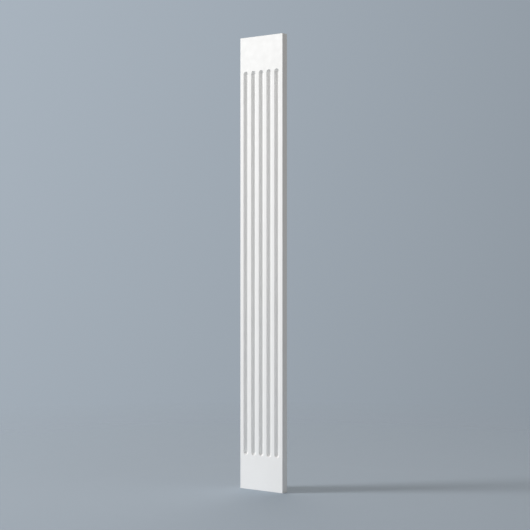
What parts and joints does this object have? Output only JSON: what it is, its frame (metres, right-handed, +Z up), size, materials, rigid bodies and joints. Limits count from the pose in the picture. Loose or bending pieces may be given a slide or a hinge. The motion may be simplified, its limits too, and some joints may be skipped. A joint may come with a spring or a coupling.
{
  "type": "pilaster",
  "caption": "Flat-backed wall pilaster with vertical round-bottomed flutes that end in round caps between plain blocks at head and foot, moulded in one piece with a white primed face.",
  "frame": {"origin": "centre of the flat back face, at mid height and mid width, on the plane where the pilaster meets the wall", "axes": "+Z up along the height, +Y into the wall as the back face's outward normal, so the fluted front faces -Y, and +X is to the right of someone who stands in front of it and faces the wall"},
  "size_m": [0.236, 0.032, 2],
  "materials": {
    "primed_face": "factory white primer with a soft satin-matt sheen"
  },
  "bodies": {
    "root": {"pilaster": "primed_face"}
  },
  "joints": []
}
